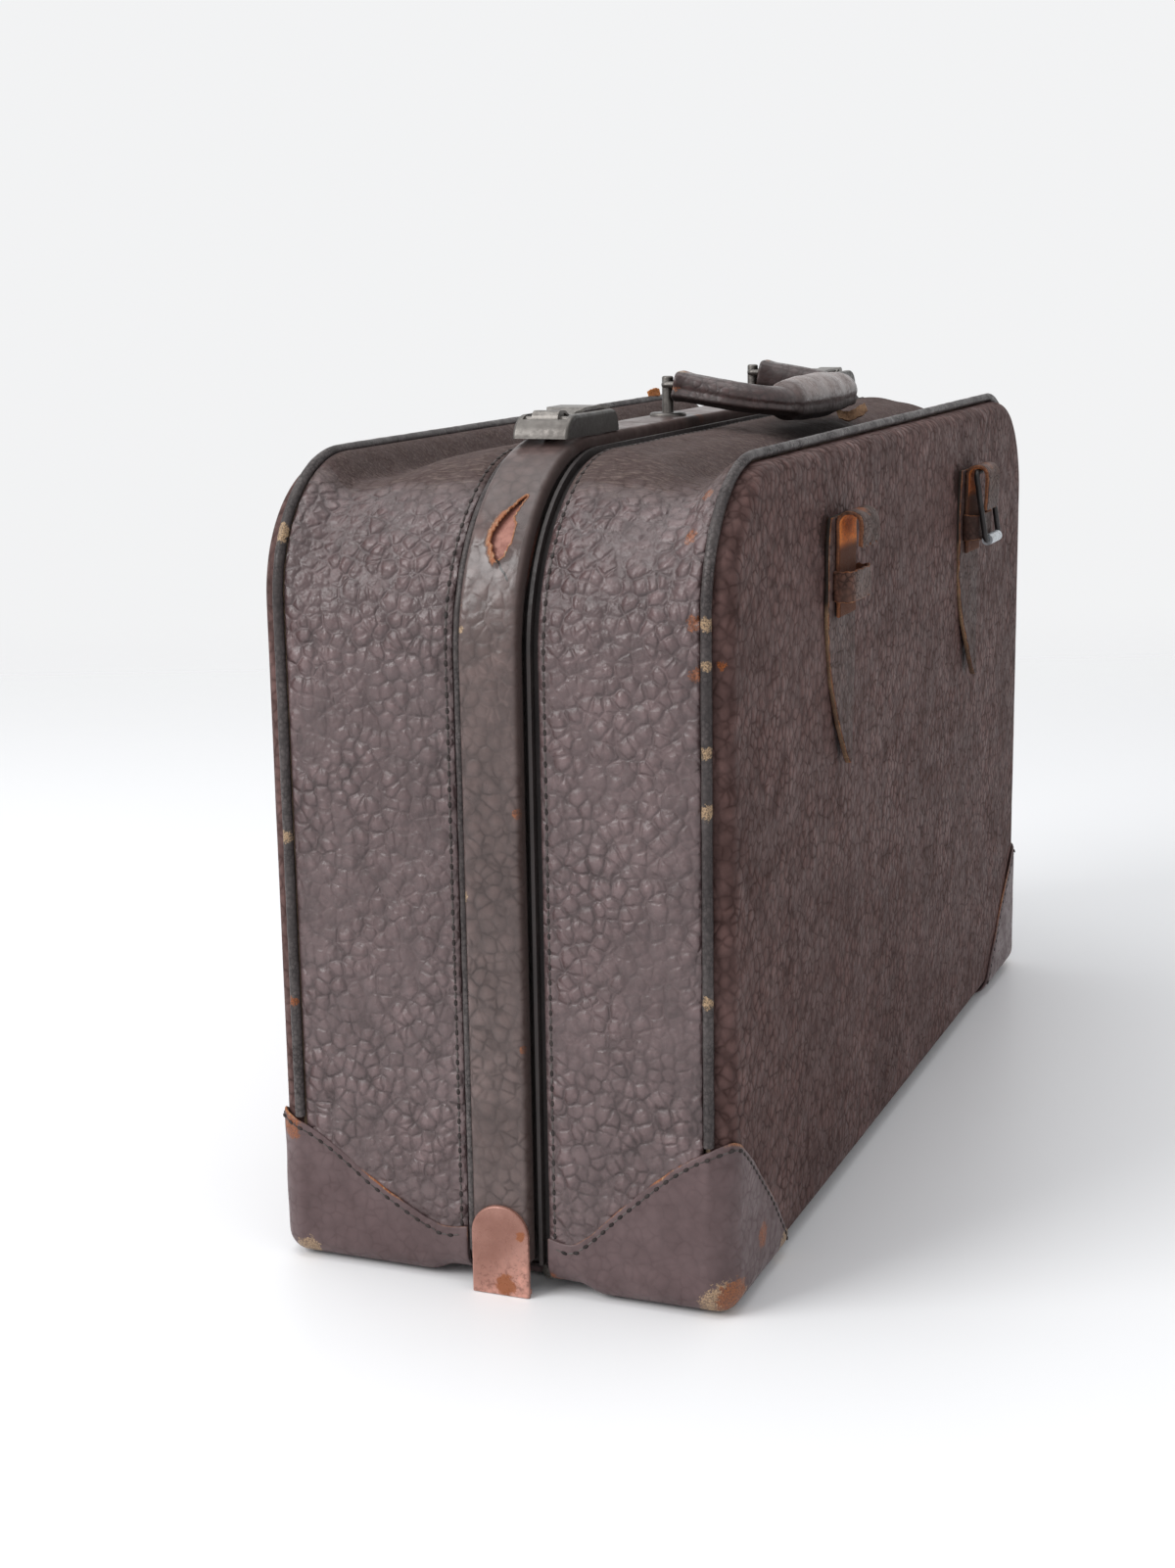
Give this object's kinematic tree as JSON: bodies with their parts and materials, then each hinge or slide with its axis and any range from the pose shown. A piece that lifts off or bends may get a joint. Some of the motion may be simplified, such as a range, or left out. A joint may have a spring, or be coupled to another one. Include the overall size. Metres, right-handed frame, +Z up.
{
  "type": "suitcase",
  "caption": "Worn framed leather suitcase with a hinged front half, lever locks, a drop handle and torn strap ends.",
  "frame": {"origin": "on the floor under the middle of the overall length and depth, straps included", "axes": "+X along the case towards the buckle end, -Y towards the front face with the straps, +Z up"},
  "size_m": [0.6226, 0.2496, 0.4151],
  "materials": {
    "steel_frame": "dull, browned where it shows",
    "band_leather": "smooth, worn glossy",
    "welt_leather": "worn to blue-grey",
    "grain_leather": "pebbled grain, dull sheen",
    "patch_leather": "pebbled grain, scuffed edges",
    "lining_cloth": "plain woven cotton",
    "stiff_board": "pressed board",
    "hinge_steel": "dull",
    "shoe_metal": "brown lacquer, worn at the toe",
    "lock_metal": "pewter grey, rubbed",
    "handle_leather": "smooth, rubbed shiny",
    "strap_leather": "worn, frayed edges",
    "buckle_metal": "dull, spotted",
    "roller_metal": "worn bright"
  },
  "bodies": {
    "rear_half": {"rear_frame": "steel_frame", "band_cover": "band_leather", "band_welt": "welt_leather", "base_strip": "band_leather", "rear_gusset": "grain_leather", "rear_lining": "lining_cloth", "rear_panel": "grain_leather", "rear_board": "stiff_board", "rear_rim": "stiff_board", "rear_piping": "welt_leather", "left_rear_corner": "patch_leather", "right_rear_corner": "patch_leather", "left_rear_hinge_leaf": "hinge_steel", "right_rear_hinge_leaf": "hinge_steel", "rear_hinge_rivets": "hinge_steel", "left_hinge_pin": "hinge_steel", "right_hinge_pin": "hinge_steel", "left_shoe": "shoe_metal", "right_shoe": "shoe_metal", "left_lock_case": "lock_metal", "right_lock_case": "lock_metal", "left_lock_pin": "lock_metal", "right_lock_pin": "lock_metal", "left_lock_spring": "lock_metal", "right_lock_spring": "lock_metal", "left_handle_post": "lock_metal", "right_handle_post": "lock_metal", "left_post_rosette": "lock_metal", "right_post_rosette": "lock_metal"},
    "front_half": {"front_frame": "steel_frame", "front_gusset": "grain_leather", "front_lining": "lining_cloth", "front_panel": "grain_leather", "front_board": "stiff_board", "front_rim": "stiff_board", "front_piping": "welt_leather", "left_front_corner": "patch_leather", "right_front_corner": "patch_leather", "left_front_hinge_leaf": "hinge_steel", "right_front_hinge_leaf": "hinge_steel", "front_hinge_rivets": "hinge_steel", "left_catch": "lock_metal", "right_catch": "lock_metal", "left_strap_leaf": "strap_leather", "right_strap_leaf": "strap_leather", "left_chape": "strap_leather", "right_chape": "strap_leather", "left_keeper": "strap_leather", "right_keeper": "strap_leather"},
    "left_latch": {"left_lock_lever": "lock_metal", "left_latch_tongue": "lock_metal"},
    "right_latch": {"right_lock_lever": "lock_metal", "right_latch_tongue": "lock_metal"},
    "handle": {"left_handle_link": "lock_metal", "right_handle_link": "lock_metal", "handle_grip": "handle_leather"},
    "buckle": {"buckle_frame": "buckle_metal"},
    "roller": {"buckle_roller": "roller_metal"}
  },
  "joints": [
    {"name": "front_swing", "type": "hinge", "parent": "rear_half", "child": "front_half", "pos_m": [0, -0.00995, 0.004], "axis": [1, 0, 0], "range_deg": [0, 170]},
    {"name": "handle_swing", "type": "hinge", "parent": "rear_half", "child": "handle", "pos_m": [0, 0.00555, 0.4075], "axis": [-1, 0, 0], "range_deg": [0, 195]},
    {"name": "left_latch_lift", "type": "hinge", "parent": "rear_half", "child": "left_latch", "pos_m": [-0.234, 0.00555, 0.3992], "axis": [0, -1, 0], "range_deg": [-4, 30]},
    {"name": "right_latch_lift", "type": "hinge", "parent": "rear_half", "child": "right_latch", "pos_m": [0.234, 0.00555, 0.3992], "axis": [0, 1, 0], "range_deg": [-4, 30]},
    {"name": "buckle_swing", "type": "hinge", "parent": "front_half", "child": "buckle", "pos_m": [0.137, -0.11535, 0.3477], "axis": [-1, 0, 0], "range_deg": [0, 100]},
    {"name": "roller_spin", "type": "hinge", "parent": "buckle", "child": "roller", "pos_m": [0.137, -0.1216, 0.30819], "axis": [1, 0, 0], "continuous": true}
  ]
}
